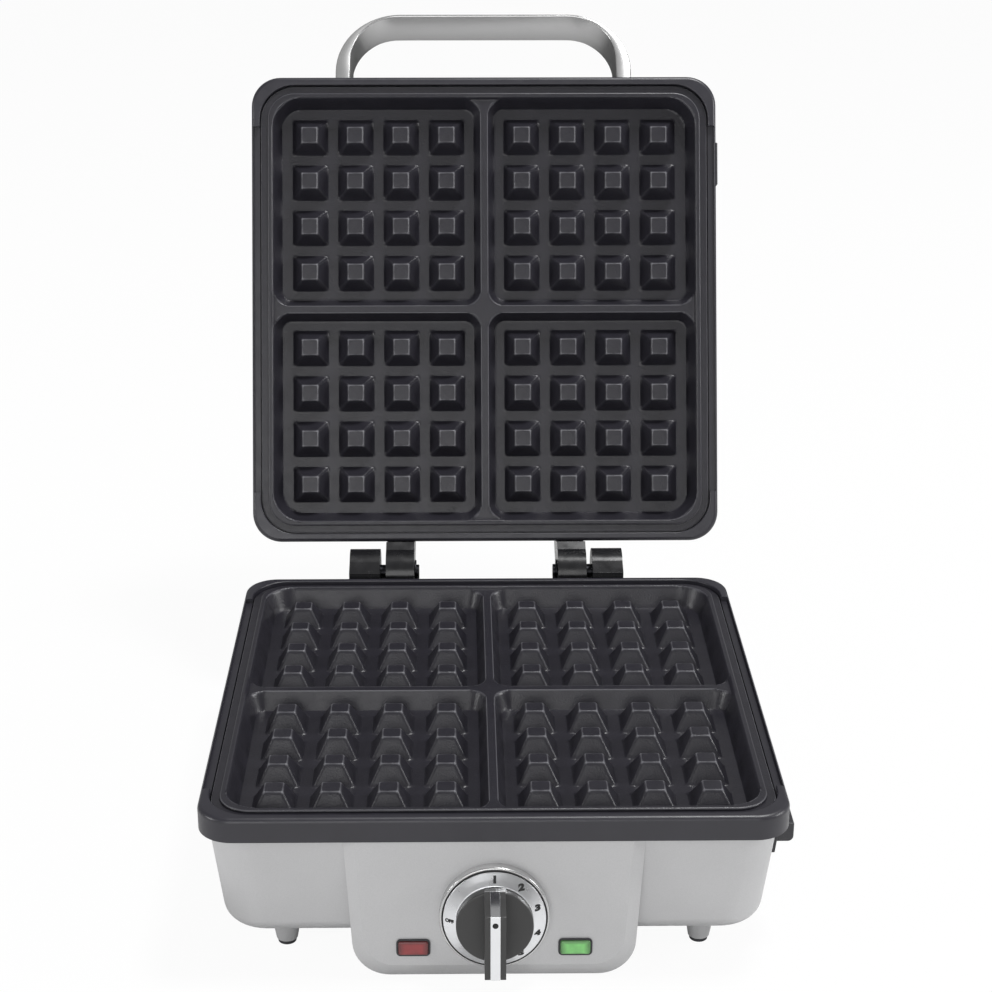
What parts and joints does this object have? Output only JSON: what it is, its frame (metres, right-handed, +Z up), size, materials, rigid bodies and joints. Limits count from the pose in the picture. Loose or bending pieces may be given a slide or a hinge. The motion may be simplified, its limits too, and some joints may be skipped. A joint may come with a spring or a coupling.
{
  "type": "waffle maker",
  "caption": "Square Belgian waffle maker, lid open, with four deep pegged cavities in each half, a hinged lid with a strap handle, and a front dial with two lamps.",
  "frame": {"origin": "centre of the open appliance's footprint, on the table", "axes": "+Z up, -Y towards the user and the dial, +X to the user's right"},
  "size_m": [0.2537, 0.4607, 0.3422],
  "materials": {
    "silver_housing": "satin silver lacquer",
    "dark_bezel": "fine satin dark grey",
    "nonstick": "cast, with a dark semi-gloss non-stick coating",
    "handle_silver": "smooth satin silver lacquer",
    "cover_brushed": "fine brushed",
    "zinc_sheet": "plain zinc-coated sheet",
    "reflector_steel": "bright",
    "black_plastic": "glossy",
    "button_grey": "satin",
    "knob_grey": "satin",
    "bright_chrome": "polished",
    "steel_part": "plain",
    "element_sheath": "heat-darkened",
    "red_lens": "clear tinted",
    "green_lens": "clear tinted",
    "lamp_glass": "clear",
    "rubber_black": "matt",
    "ceramic_white": "glazed ceramic",
    "wire_sleeve": "silicone sleeve"
  },
  "bodies": {
    "base": {"base_bezel": "dark_bezel", "base_button_frame": "knob_grey", "base_cover": "zinc_sheet", "base_cover_screws": "steel_part", "base_element_clips": "steel_part", "base_heating_element": "element_sheath", "base_hinge_knuckles": "black_plastic", "base_hinge_screws": "steel_part", "base_housing": "silver_housing", "base_reflector": "reflector_steel", "base_reflector_screws": "steel_part", "base_release_guide": "button_grey", "base_release_spring": "steel_part", "base_thermal_fuse": "ceramic_white", "base_wires": "wire_sleeve", "cord_gland": "button_grey", "dial_collar": "silver_housing", "dial_ring": "bright_chrome", "feet": "silver_housing", "foot_pads": "rubber_black", "gland_nut": "button_grey", "green_lamp": "lamp_glass", "green_lens": "green_lens", "hinge_pins": "steel_part", "lamp_frames": "knob_grey", "lamp_holders": "ceramic_white", "pin_clips": "steel_part", "red_lamp": "lamp_glass", "red_lens": "red_lens", "terminal_block": "ceramic_white", "thermostat": "ceramic_white", "thermostat_bracket": "steel_part", "thermostat_nut": "steel_part"},
    "lid": {"lid_bezel": "dark_bezel", "lid_button_frame": "knob_grey", "lid_cover": "cover_brushed", "lid_cover_nuts": "steel_part", "lid_element_clips": "steel_part", "lid_handle": "handle_silver", "lid_handle_screws": "steel_part", "lid_heating_element": "element_sheath", "lid_hinge_knuckles": "black_plastic", "lid_hinge_screws": "steel_part", "lid_housing": "silver_housing", "lid_reflector": "reflector_steel", "lid_reflector_screws": "steel_part", "lid_release_guide": "button_grey", "lid_release_spring": "steel_part", "lid_thermal_fuse": "ceramic_white", "lid_wires": "wire_sleeve"},
    "knob": {"knob": "knob_grey", "knob_strip": "bright_chrome", "thermostat_shaft": "steel_part"},
    "base_button": {"base_release_button": "button_grey", "base_release_catch": "steel_part"},
    "lid_button": {"lid_release_button": "button_grey", "lid_release_catch": "steel_part"},
    "lower_plate": {"base_waffle_plate": "nonstick"},
    "upper_plate": {"lid_waffle_plate": "nonstick"}
  },
  "joints": [
    {"name": "lid_hinge", "type": "hinge", "parent": "base", "child": "lid", "pos_m": [0, 0.0658, 0.0715], "axis": [1, 0, 0], "range_deg": [0, 112.19]},
    {"name": "thermostat_turn", "type": "hinge", "parent": "base", "child": "knob", "pos_m": [0, -0.20161, 0.03135], "axis": [0, -0.9969, 0.0785], "range_deg": [-144, 90]},
    {"name": "base_button_press", "type": "slide", "parent": "base", "child": "base_button", "axis": [-1, 0, 0], "range_m": [0, 0.003], "stiffness_N_per_m": 400, "springref_m": -0.001, "deforming": ["base_release_spring"]},
    {"name": "lid_button_press", "type": "slide", "parent": "lid", "child": "lid_button", "axis": [-1, 0, 0], "range_m": [0, 0.003], "stiffness_N_per_m": 400, "springref_m": -0.001, "deforming": ["lid_release_spring"]},
    {"name": "lower_plate_lift", "type": "slide", "parent": "base", "child": "lower_plate", "axis": [0, 0, -1], "range_m": [-0.03, 0]},
    {"name": "upper_plate_lift", "type": "slide", "parent": "lid", "child": "upper_plate", "axis": [0, 0.9259, -0.3777], "range_m": [-0.03, 0]}
  ]
}
